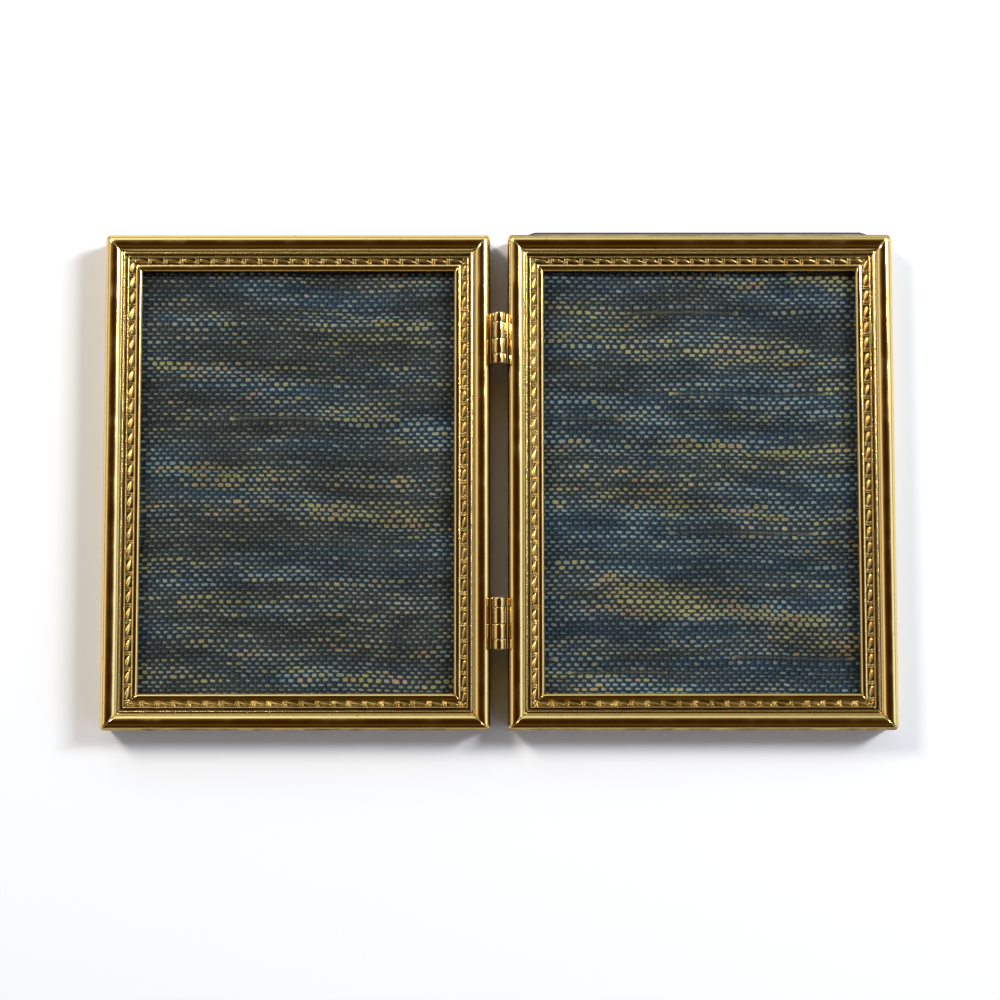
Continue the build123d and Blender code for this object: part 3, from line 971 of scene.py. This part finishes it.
@dataclass
class Covering:
    """A cloth cover: a fine face over a board with rounded corners, and a skirt down its edges.
    Sizes in mm."""

    name: str
    node: str
    window: np.ndarray  # x and y of the two corners of the part of the face that shows
    faces_up: bool
    radius: float = 5.0
    thickness: float = 0.4
    turn: float = 0.25
    fine: tuple[float, float] = (0.3133, 0.2375)  # grid spacing in X and Y, in the window
    coarse: tuple[float, float] = (2.4, 1.2)  # and outside it

    def lines(self, axis: int, low: float, high: float) -> np.ndarray:
        """Grid lines along one axis: fine over the window and coarse outside it.

        Args:
            axis: 0 for X, 1 for Y.
            low: Start of the board.
            high: End of the board.

        Returns:
            The places of the lines in mm.
        """
        start, end = self.window[:, axis]
        fine, coarse = self.fine[axis], self.coarse[axis]
        middle = start + np.arange(int((end - start) / fine) + 1) * fine
        before = np.linspace(low, middle[0], int((middle[0] - low) / coarse) + 2)[:-1]
        after = np.linspace(middle[-1], high, int((high - middle[-1]) / coarse) + 2)[1:]
        return np.concatenate([before, middle, after])

    def face_grid(self, low: np.ndarray, high: np.ndarray) -> tuple[np.ndarray, np.ndarray]:
        """The face's grid, whose side margins narrow to the rounded corners.

        Args:
            low: Lowest corner of the board.
            high: Highest corner of the board.

        Returns:
            X and Y of each point, by rows along Y.
        """
        x, y = (self.lines(axis, low[axis], high[axis]) for axis in (0, 1))
        left, right = self.window[:, 0]
        to_end = np.minimum(y - low[1], high[1] - y)
        inset = np.clip(self.radius - to_end, 0, self.radius)
        narrowed = self.radius - np.sqrt(np.clip(self.radius ** 2 - inset ** 2, 0, None))
        margin = np.clip((left - x) / (left - low[0]), 0, 1)
        margin -= np.clip((x - right) / (high[0] - right), 0, 1)
        grid_x = x[None] + narrowed[:, None] * margin[None]
        return grid_x, np.broadcast_to(y[:, None], grid_x.shape)

    def build(self, relief: Callable, cells: Callable) -> tuple[Object, np.ndarray]:
        """Makes the cover as a closed shell.

        The face is a grid. Its rim goes on as rings: round over the edge, down the skirt, under
        and up inside it to one flat face against the board.

        Args:
            relief: Function of X and Y that gives the height of the weave over its mean, in mm.
            cells: Function of X and Y that gives the texture coordinates.

        Returns:
            The new object, and X and Y of each of its points with the cloth unrolled flat.
        """
        low, high = np.array(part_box(self.node)) / MM
        up = 1 if self.faces_up else -1
        top, foot = (high[2], low[2]) if self.faces_up else (low[2], high[2])
        x, y = self.face_grid(low + self.turn, high - self.turn)
        face = np.stack([x, y, top + up * relief(x, y)], axis=-1).reshape(-1, 3)
        number = np.arange(x.size).reshape(x.shape)
        rim = np.concatenate([number[0, :-1], number[:-1, -1], number[-1, :0:-1],
                              number[:0:-1, 0]])
        edge = face[rim]
        tangent = (np.roll(edge, -1, 0) - np.roll(edge, 1, 0))[:, :2]
        out = np.stack([tangent[:, 1], -tangent[:, 0]], axis=1)
        out /= np.linalg.norm(out, axis=1)[:, None]
        inside = self.turn - self.thickness
        rounded, corner = top - up * 0.3 * self.turn, top - up * self.turn
        rings, unrolled, length = [edge], [edge[:, :2]], 0.0
        for aside, level in ((0.7 * self.turn, rounded), (self.turn, corner), (self.turn, foot),
                             (inside, foot), (inside, top - up * self.thickness)):
            rings.append(np.insert(edge[:, :2] + out * aside, 2, level, axis=1))
            length += np.linalg.norm((rings[-1] - rings[-2])[0])
            unrolled.append(edge[:, :2] + out * length)
        numbers = [rim, *(x.size + np.arange(len(rings[1:]) * len(rim)).reshape(-1, len(rim)))]
        grid = [number[:-1, :-1], number[:-1, 1:], number[1:, 1:], number[1:, :-1]]
        skirt = [np.stack([b, np.roll(b, -1), np.roll(a, -1), a], axis=-1)
                 for a, b in zip(numbers, numbers[1:])]
        quads, lining = np.vstack([np.stack(grid, axis=-1).reshape(-1, 4), *skirt]), numbers[-1]
        if self.faces_up:
            lining = lining[::-1]
        else:
            quads = quads[:, ::-1]
        flat = np.vstack([face[:, :2], *unrolled[1:]])
        piece = make_piece(self.name, np.vstack([face, *rings[1:]]), quads, [lining],
                           np.stack(cells(*flat.T), axis=1), crease=80)
        return piece, flat


@dataclass
class Weave:
    """The cloth's weave: rows of weft dashes, half a dash off in every other row. Sizes in mm."""

    seed: int
    dash_pitch: float = 1.88
    row_pitch: float = 0.95
    relief_high: float = 0.1
    drift: float = 0.35  # how far rows and dashes stray from their places, in cells
    jogs: tuple[float, float] = (0.14, 0.3)  # how far they also stray quickly, in cells
    rows: int = 400  # number of rows that get chances of their own
    start: int = 200  # cells before X and Y of 0
    kinship: float = 0.45  # how far a row takes after the one before it
    float_rows: float = 0.03  # share of the rows whose weft floats somewhere
    # Wavelengths of a row: the least, and what chance adds to it.
    slow_wave: tuple[float, float] = (16, 22)
    quick_wave: tuple[float, float] = (7, 6)
    float_wave: tuple[float, float] = (48, 40)
    streak: tuple[float, float] = (25, 30)
    fullness: float = 0.31  # mean thickness of the weft
    fullness_gains: tuple[float, float, float] = (0.2, 0.3, 0.45)  # of a row's wave, cluster, row
    warmth: float = 0.64  # mean tone
    warmth_gains: tuple[float, float, float] = (0.23, 0.14, 0.3)  # of a patch, streak, row

    def cells(self, x: np.ndarray, y: np.ndarray) -> tuple[np.ndarray, np.ndarray]:
        """Place of a point counted in dashes and rows, with a slow drift of the yarns.

        Args:
            x: X in mm.
            y: Y in mm.

        Returns:
            Dashes across and rows up, both above 0.
        """
        stray = self.drift * wander(y + 0.35 * x, (31.0, 17.0, 47.0), self.seed)
        stray += self.jogs[0] * wander(x, (7.0, 11.0), self.seed + 6)
        sway = self.drift * wander(x + 0.2 * y, (53.0, 29.0, 83.0), self.seed + 1)
        sway += self.jogs[1] * wander(y + 0.02 * x, (4.3, 6.9, 9.7), self.seed + 5)
        return (x / self.dash_pitch + self.start + stray,
                y / self.row_pitch + self.start + sway)

    def row_chances(self, x: np.ndarray, y: np.ndarray, salt: int) -> np.ndarray:
        """Six numbers from 0 to 1 for the row that each point lies in.

        Args:
            x: X in mm.
            y: Y in mm.
            salt: Number added to the seed.

        Returns:
            Six arrays. The fifth number of a row is partly that of the row before.
        """
        chance = np.random.default_rng(self.seed + salt).uniform(0, 1, (self.rows, 6))
        chance[1:, 4] = (1 - self.kinship) * chance[1:, 4] + self.kinship * chance[:-1, 4]
        return np.moveaxis(chance[np.floor(self.cells(x, y)[1]).astype(int)], -1, 0)

    @staticmethod
    def row_wave(x: np.ndarray, length: tuple[float, float], chance: np.ndarray,
                 phase: np.ndarray) -> np.ndarray:
        """A sine along X, of a row's own length and phase."""
        return np.sin(2 * np.pi * (x / (length[0] + length[1] * chance) + phase))

    def yarn(self, x: np.ndarray, y: np.ndarray) -> np.ndarray:
        """Thickness of the weft from 0 to 1, and up to 1.5 where it floats over several warps.

        Each row has a slow wave of its own, stronger in clusters that lie along the rows.

        Args:
            x: X in mm.
            y: Y in mm.

        Returns:
            The thickness at each point.
        """
        first, second, third, fourth, step, rare = self.row_chances(x, y, 2)
        wave = self.row_wave(x, self.slow_wave, first, second)
        wave += 0.7 * self.row_wave(x, self.quick_wave, third, fourth)
        cluster = wander(x + 3.5 * y, (67.0, 41.0, 90.0), self.seed + 3)
        cluster += wander(y + 0.05 * x, (19.0, 7.3, 11.0), self.seed + 4)
        gains = self.fullness_gains
        thick = self.fullness + gains[0] * wave + gains[1] * cluster + gains[2] * (step - 0.5)
        run = self.row_wave(x, self.float_wave, first, fourth)
        floats = (rare < self.float_rows) * np.clip(4 * run - 1, 0, 1)
        return np.where(floats > 0, 1 + 0.5 * floats, np.clip(thick, 0, 1))

    def tone(self, x: np.ndarray, y: np.ndarray) -> np.ndarray:
        """Colour of the yarns from blue, 0, to tan, 1: patches drawn out along the rows, with
        some rows off on their own.

        Args:
            x: X in mm.
            y: Y in mm.

        Returns:
            The tone at each point.
        """
        first, second, _, _, step, _ = self.row_chances(x, y, 9)
        patch = wander(x + 4.0 * y, (83.0, 47.0, 120.0), self.seed + 7)
        patch += wander(y - 0.12 * x, (13.0, 21.0, 31.0), self.seed + 8)
        streak = self.row_wave(x, self.streak, first, second)
        gains = self.warmth_gains
        tone = self.warmth + gains[0] * patch + gains[1] * streak + gains[2] * (step - 0.5)
        return np.clip(tone, 0, 1)

    def relief(self, x: np.ndarray, y: np.ndarray) -> np.ndarray:
        """Height of the weave over its mean: a smooth hump for each dash, higher on thick yarn.

        Args:
            x: X in mm.
            y: Y in mm.

        Returns:
            The height in mm.
        """
        dashes, rows = self.cells(x, y)
        row = np.floor(rows)
        side = np.mod(dashes + 0.5 * np.mod(row, 2), 1) - 0.5
        hump = np.cos(np.pi * side) ** 2 * np.cos(np.pi * (rows - row - 0.5)) ** 2
        thick = np.minimum(self.yarn(x, y), 1)
        return self.relief_high * (hump * (0.45 + 0.5 * thick) - 1.0)


@dataclass
class PhotoFrame:
    """One of the two frames, with all that it holds."""

    side: Side
    brass: Material
    glass: Material
    cloth: Material
    velvet: Material
    board: Material
    moulding: Moulding = field(default_factory=Moulding)
    band: StampedBand = field(default_factory=StampedBand)
    seed: int = 11
    cloth_beyond_lip: float = 0.6  # mm of fine cloth past the edge of the opening
    velvet_wave: float = 0.02  # mm

    @property
    def label(self) -> str:
        """First word of this frame's names."""
        return self.side.name.lower()

    def outline(self) -> tuple[np.ndarray, np.ndarray]:
        """The right-hand frame's lowest and highest X and Y in mm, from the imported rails."""
        boxes = np.array([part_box(f"right_{edge.name.lower()}") for edge in Edge]) / MM
        return boxes[:, 0, :2].min(0), boxes[:, 1, :2].max(0)

    def build_rails(self) -> None:
        """Makes the four rails."""
        low, high = self.outline()
        for number, edge in enumerate(Edge):
            seed = self.seed + 100 * number + (50 if self.side is Side.LEFT else 0)
            rail = Rail(self.side, edge, self.moulding, self.band, low, high, seed)
            place(rail.build(), f"{self.label}_frame", [rail.name], self.brass)

    def opening(self) -> np.ndarray:
        """Finds this frame's opening.

        Returns:
            X and Y of its two corners, in mm.
        """
        low, high = self.outline()
        inner = np.array([low + self.moulding.face, high - self.moulding.face])
        if self.side is Side.LEFT:
            inner[:, 0] = -inner[::-1, 0]
        return inner

    def build_insert(self) -> None:
        """Makes the cloth over the insert card."""
        if self.side is Side.LEFT:
            weave = Weave(self.seed + 7)
        else:
            weave = Weave(self.seed + 3, fullness=0.44, warmth=0.48)
        window = self.opening() + self.cloth_beyond_lip * np.array([[-1], [1]])
        node = f"{self.label}_insert_cloth"
        cover = Covering(f"{self.label}_insert_weave", node, window, faces_up=True)
        piece, unrolled = cover.build(weave.relief, weave.cells)
        give_attribute(piece, "yarn", weave.yarn(*unrolled.T))
        give_attribute(piece, "tone", weave.tone(*unrolled.T))
        place(piece, f"{self.label}_insert", [node], self.cloth)
        f"{self.label}_insert_card"

    def lie_of_velvet(self, x: np.ndarray, y: np.ndarray) -> np.ndarray:
        """Height in mm of the velvet's face, which slow waves sink."""
        return self.velvet_wave * (wander(x + 0.4 * y, (19.0, 31.0, 7.0), self.seed) - 1)

    def build_back(self) -> None:
        """Makes the velvet over the back board."""
        node = f"{self.label}_back_velvet"
        cover = Covering(f"{self.label}_back_pile", node, self.opening(), faces_up=False,
                         thickness=0.3, fine=(1.0, 1.0), coarse=(1.0, 1.0))
        piece, _ = cover.build(self.lie_of_velvet, lambda x, y: (x, y))
        place(piece, f"{self.label}_back", [node], self.velvet)
        f"{self.label}_back_board"

    def dress_packed_nodes(self) -> None:
        """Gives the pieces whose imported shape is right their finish."""
        finishes = {"corner_keys": self.brass, "glass": self.glass, "insert_card": self.board,
                    "back_board": self.board}
        for name, material in finishes.items():
            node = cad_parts[f"{self.label}_{name}"]
            node.data.materials.clear()
            node.data.materials.append(material)
            LOG.info("%s: packed shape, %s", node.name, material.name)
        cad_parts[f"{self.label}_glass"].visible_shadow = False

    def build(self) -> None:
        """Makes everything in this frame."""
        self.build_rails()
        self.build_insert()
        self.build_back()
        self.dress_packed_nodes()


@dataclass(frozen=True)
class HingeShape:
    """Sizes of one hinge in mm, about its axis."""

    half_gap: float = 1.95
    level: float = 8.15
    knuckles: tuple[float, ...] = (2.0, 3.6, 3.3, 2.1)  # lengths from the top down
    gap: float = 0.1
    radius: float = 1.3
    bore: float = 0.8
    sheet: float = 0.5
    shoulder_in: float = 0.05  # how far into the plate a knuckle's shoulder starts
    reach: float = 5.0
    drop: float = 0.8
    fillet: float = 0.3
    seam: float = 0.1
    corner: float = 0.1  # of the bend from a shoulder's top into the roll
    worn: float = 0.13  # how far the ends of a knuckle are worn round
    pin_radius: float = 0.75
    head_radius: float = 1.1
    head_height: float = 0.3
    crown: float = 0.08  # height of the part of a head that is rubbed bright
    plate_film: float = 0.3
    pin_film: float = 0.6
    crown_film: float = 0.1

    def knuckle(self) -> np.ndarray:
        """Section of a knuckle: the sheet comes in as a shoulder and rolls up round the bore.

        Returns:
            The points as across and up, with how hollow each lies.
        """
        start, foot = self.half_gap - self.sheet + self.shoulder_in, -self.drop - self.sheet
        bore, radius, fillet = self.bore, self.radius, self.fillet
        lap = bore - self.seam
        bore_end, roll_start = (math.degrees(math.asin(lap / r)) + 180 for r in (bore, radius))
        dark = [(start, foot), *bend((bore + fillet, foot), (bore, foot), (bore, foot + fillet), 4),
                *arc((0, 0), bore, -90, bore_end, 28)]
        light = [*arc((0, 0), radius, roll_start, -90, 44), (radius, self.corner - self.drop),
                 (radius + self.corner, -self.drop), (start, -self.drop)]
        return np.column_stack([np.vstack([dark, light]),
                                np.repeat((1.0, 0.0), (len(dark), len(light)))])

    def plate(self) -> np.ndarray:
        """Section of a leaf's plate, which lies on the frame's side wall.

        Returns:
            The points as across and up, with how hollow each lies.
        """
        inner, outer = self.half_gap - self.sheet, self.half_gap
        top = bend((outer - self.fillet, -self.drop), (outer, -self.drop),
                   (outer, -self.drop - self.fillet), 5)
        points = np.vstack([[(inner, -self.reach), (inner, -self.drop)], top,
                            [(outer, -self.reach)]])
        return np.insert(points, 2, self.plate_film, axis=1)

    def pin(self) -> tuple[np.ndarray, np.ndarray]:
        """Places along the axis and radii of the pin, with a low rounded head at each end.

        Returns:
            The places and the radii.
        """
        end = sum(self.knuckles) / 2
        turn = np.radians(np.linspace(90, 25, 6))
        head_at = end + self.head_height * np.cos(turn)
        head = self.head_radius * np.sin(turn) ** 0.6
        at = np.concatenate([-head_at[::-1], [-end, end], head_at])
        radii = np.concatenate([head[::-1], [self.pin_radius] * 2, head])
        return at, radii


@dataclass
class Hinges:
    """The two hinges between the frames. Each has a left leaf, a right leaf and a pin."""

    brass: Material
    shape: HingeShape = field(default_factory=HingeShape)

    def sweep(self, section: np.ndarray, low: float, high: float) -> tuple[np.ndarray, np.ndarray]:
        """Carries a section along the axis, drawn in on a quarter circle at its worn ends.

        Args:
            section: Points as across, up and hollow.
            low: Where it starts.
            high: Where it ends.

        Returns:
            The points in rows of stations, and how hollow each lies; the worn ends get
            painted shade, for the dark seams between knuckles.
        """
        worn = self.shape.worn
        turn = np.radians(np.linspace(0, 90, 5))
        inward, aside = worn * (1 - np.sin(turn)), worn * (1 - np.cos(turn))
        at = np.concatenate([low + inward[::-1], high - inward])
        drawn = np.concatenate([aside[::-1], aside])[:, None]
        along = np.roll(section[:, :2], -1, 0) - np.roll(section[:, :2], 1, 0)
        along /= np.linalg.norm(along, axis=1)[:, None]
        across = section[:, 0] + drawn * along[:, 1]
        up = section[:, 1] - drawn * along[:, 0]
        y = np.broadcast_to(at[:, None], across.shape)
        points = np.stack([across, y, up + self.shape.level], axis=-1)
        # Brown film on the worn ends is painted shade in the seams between knuckles.
        return points, np.maximum(section[:, 2], drawn / worn)

    def join(self, name: str, parts: list[tuple[np.ndarray, np.ndarray]], middle: float,
             side: Side) -> Object:
        """Puts swept parts into one mesh, mirrored for the left and moved to the hinge's middle.

        Args:
            name: Name of the piece.
            parts: For each, its points in rows of stations and how hollow they are.
            middle: Y of the hinge's middle in mm.
            side: The frame that it belongs to.

        Returns:
            The new object.
        """
        points, quads, caps, first = [], [], [], 0
        for rows, _ in parts:
            faces, ends = sweep_faces(*rows.shape[:2], mirrored=side is Side.LEFT)
            quads.append(faces + first)
            caps += [end + first for end in ends]
            points.append(rows.reshape(-1, 3))
            first += len(points[-1])
        points = np.vstack(points) * (side.value, 1, 1) + (0, middle, 0)
        uv = np.stack([points[:, 1], points[:, 0] + points[:, 2]], axis=1)
        piece = make_piece(name, points, np.vstack(quads), caps, uv, crease=50)
        give_attribute(piece, "hollow", np.concatenate([hollow.ravel() for _, hollow in parts]))
        return piece

    def build_leaf(self, place_name: str, side: Side, middle: float) -> None:
        """Makes one leaf: its plate and every second knuckle.

        Args:
            place_name: upper or lower.
            side: The frame that it is fixed to.
            middle: Y of the hinge's middle in mm.
        """
        shape = self.shape
        half = sum(shape.knuckles) / 2
        parts = [self.sweep(shape.plate(), -half, half)]
        tops = half - np.cumsum((0, *shape.knuckles))
        highs, lows = tops[:-1].copy(), tops[1:].copy()
        highs[1:] -= shape.gap / 2
        lows[:-1] += shape.gap / 2
        first = 0 if side is Side.LEFT else 1
        for low, high in zip(lows[first::2], highs[first::2]):
            parts.append(self.sweep(shape.knuckle(), low, high))
        node = f"{place_name}_hinge_{side.name.lower()}_leaf"
        piece = self.join(f"{node}_rolled", parts, middle, side)
        place(piece, f"{side.name.lower()}_frame", [node], self.brass)

    def build_pin(self, place_name: str, middle: float) -> None:
        """Makes one pin, turned about its axis.

        Args:
            place_name: upper or lower.
            middle: Y of the hinge's middle in mm.
        """
        shape = self.shape
        at, radii = (values[:, None] for values in shape.pin())
        turn = np.linspace(0, 2 * np.pi, 32, endpoint=False)
        points = np.stack([radii * np.cos(turn), np.broadcast_to(at, (len(at), len(turn))),
                           shape.level - radii * np.sin(turn)], axis=-1)
        on_crown = np.abs(at) > np.abs(at).max() - shape.crown
        film = np.where(on_crown, shape.crown_film, shape.pin_film) * np.ones(len(turn))
        node = f"{place_name}_hinge_pin"
        piece = self.join(f"{node}_headed", [(points, film)], middle, Side.RIGHT)
        place(piece, "left_frame", [node], self.brass)

    def build(self) -> None:
        """Makes both hinges."""
        for place_name in ("upper", "lower"):
            low, high = np.array(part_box(f"{place_name}_hinge_pin")) / MM
            middle = float(low[1] + high[1]) / 2
            for side in Side:
                self.build_leaf(place_name, side, middle)
            self.build_pin(place_name, middle)


@dataclass(frozen=True)
class SoftBox:
    """A lamp with a broad face that is turned to the frames. Sizes in metres."""

    name: str
    at: tuple[float, float, float]
    size: tuple[float, float]
    brightness: float  # how bright its face looks, where 1 is white
    colour: str

    def build(self) -> None:
        """Hangs the lamp, out of the camera's sight."""
        data = bpy.data.lights.new(self.name, "AREA")
        data.shape = "RECTANGLE"
        data.size, data.size_y = self.size
        data.energy = self.brightness * math.pi * self.size[0] * self.size[1]
        data.color = linear(self.colour)[:3]
        lamp = bpy.data.objects.new(self.name, data)
        lamp.location = self.at
        lamp.rotation_mode = "QUATERNION"
        lamp.rotation_quaternion = Vector(self.at).to_track_quat("Z", "Y")
        lamp.visible_camera = False
        bpy.context.scene.collection.objects.link(lamp)


@dataclass
class Studio:
    """Floor, lamps, sky and camera. Sizes in metres."""

    camera_at: tuple[float, float, float] = (0.00019, -0.03164, 0.40004)
    camera_turn: tuple[float, float, float] = (0.0677, -0.00001, -0.00067)
    lens: float = 65.34
    floor_half: float = 20.0
    floor_level: float = -0.00002
    right_glow: tuple[float, ...] = (1.15, 1.45, 2.00, 1.0)
    left_glow: tuple[float, ...] = (1.04, 0.97, 1.05, 1.0)
    back_glow: tuple[float, ...] = (1.30, 1.57, 1.79, 1.0)
    front_glow: tuple[float, ...] = (0.04, 0.018, 0.004, 1.0)
    skirting: tuple[float, ...] = (0.25, 0.25, 0.23, 1.0)
    cornice: tuple[float, ...] = (0.12, 0.09, 0.012, 1.0)
    ceiling: tuple[float, ...] = (0.060, 0.024, 0.003, 1.0)
    zenith: tuple[float, ...] = (0.040, 0.013, 0.001, 1.0)
    lamps: tuple[SoftBox, ...] = (
        SoftBox("window_right", (0.70, 0.33, 0.63), (0.16, 0.30), 45.0, "F8FBFF"),
        SoftBox("window_left", (-0.56, 0.50, 0.66), (0.20, 0.26), 30.0, "FFF8EC"))

    def build_camera(self) -> None:
        """Stands the camera above the frames, where the photograph was taken from."""
        data = bpy.data.cameras.new("camera")
        data.lens = self.lens
        data.sensor_width = 36
        camera = bpy.data.objects.new("camera", data)
        camera.location = self.camera_at
        camera.rotation_euler = self.camera_turn
        bpy.context.scene.collection.objects.link(camera)
        bpy.context.scene.camera = camera

    def build_floor(self) -> None:
        """Lays a wide square floor of paper just under the frames."""
        corners = np.array([(-1, -1), (1, -1), (1, 1), (-1, 1)]) * self.floor_half
        points = np.insert(corners, 2, self.floor_level, axis=1) / MM
        floor = make_piece("floor", points, np.array([[0, 1, 2, 3]]))
        floor.data.materials.append(MattPaper().build())

    def build_sky(self) -> None:
        """Paints the room: a cool glow to the right, a warm one to the left, a window behind the
        top edge, grey near the floor, and dark brown towards the viewer and overhead. Brass and
        glass mirror that room, and the white backdrop just over the horizon. The camera sees
        plain white."""
        world = bpy.data.worlds.new("room")
        world.use_nodes = True
        tree = world.node_tree
        tree.nodes.clear()
        across, away, up = add(tree, "SeparateXYZ", (add(tree, "TexCoord")["Generated"],))
        window = add(tree, "MapRange", (across, 0.25, -0.25, 0.5, 1.0), **SMOOTH)[0]
        colour = self.front_glow
        # Each glow starts to show at the first place, and shows to its share at the second.
        for way, start, full, share, glow in (
                (across, 0.42, 0.68, 1.0, self.right_glow),
                (across, -0.60, -0.86, 1.0, self.left_glow),
                (away, 0.55, 0.75, window, self.back_glow),
                (up, 0.34, 0.18, 1.0, self.skirting),
                (up, 0.58, 0.78, 1.0, self.cornice),
                (up, 0.74, 0.93, 1.0, self.ceiling),
                (up, 0.90, 1.0, 1.0, self.zenith)):
            share = add(tree, "MapRange", (way, start, full, 0.0, share), **SMOOTH)[0]
            colour = add(tree, "Mix", {0: share, 6: colour, 7: glow}, data_type="RGBA")[2]
        path = add(tree, "LightPath")
        mirrored = add(tree, "Math", (path["Is Glossy Ray"], path["Is Transmission Ray"]),
                       operation="MAXIMUM")[0]
        horizon = add(tree, "MapRange", (up, 0.12, 0.05, 0.0, 1.0), **SMOOTH)[0]
        backdrop = add(tree, "Math", (mirrored, horizon), operation="MULTIPLY")[0]
        white = add(tree, "Math", (path["Is Camera Ray"], backdrop), operation="MAXIMUM")[0]
        colour = add(tree, "Mix", {0: white, 6: colour, 7: linear("FFFFFF")},
                     data_type="RGBA")[2]
        add(tree, "OutputWorld", (add(tree, "Background", (colour, 1.0))[0],))
        bpy.context.scene.world = world

    def build(self) -> None:
        """Builds the whole stage."""
        self.build_camera()
        self.build_floor()
        self.build_sky()
        for lamp in self.lamps:
            lamp.build()
        bpy.context.scene.view_settings.view_transform = "Standard"


def main() -> None:
    """Builds the stage and every piece of the double frame, in order."""
    logging.basicConfig(level=logging.INFO, format="%(name)s: %(message)s")
    Studio().build()
    brass, *others = (finish().build()
                      for finish in (BuffedBrass, PictureGlass, SlubCloth, Velvet, Greyboard))
    for side in Side:
        PhotoFrame(side, brass, *others).build()
        LOG.info("%s frame is in place", side.name.lower())
    Hinges(brass).build()


if __name__ == "__main__":
    main()
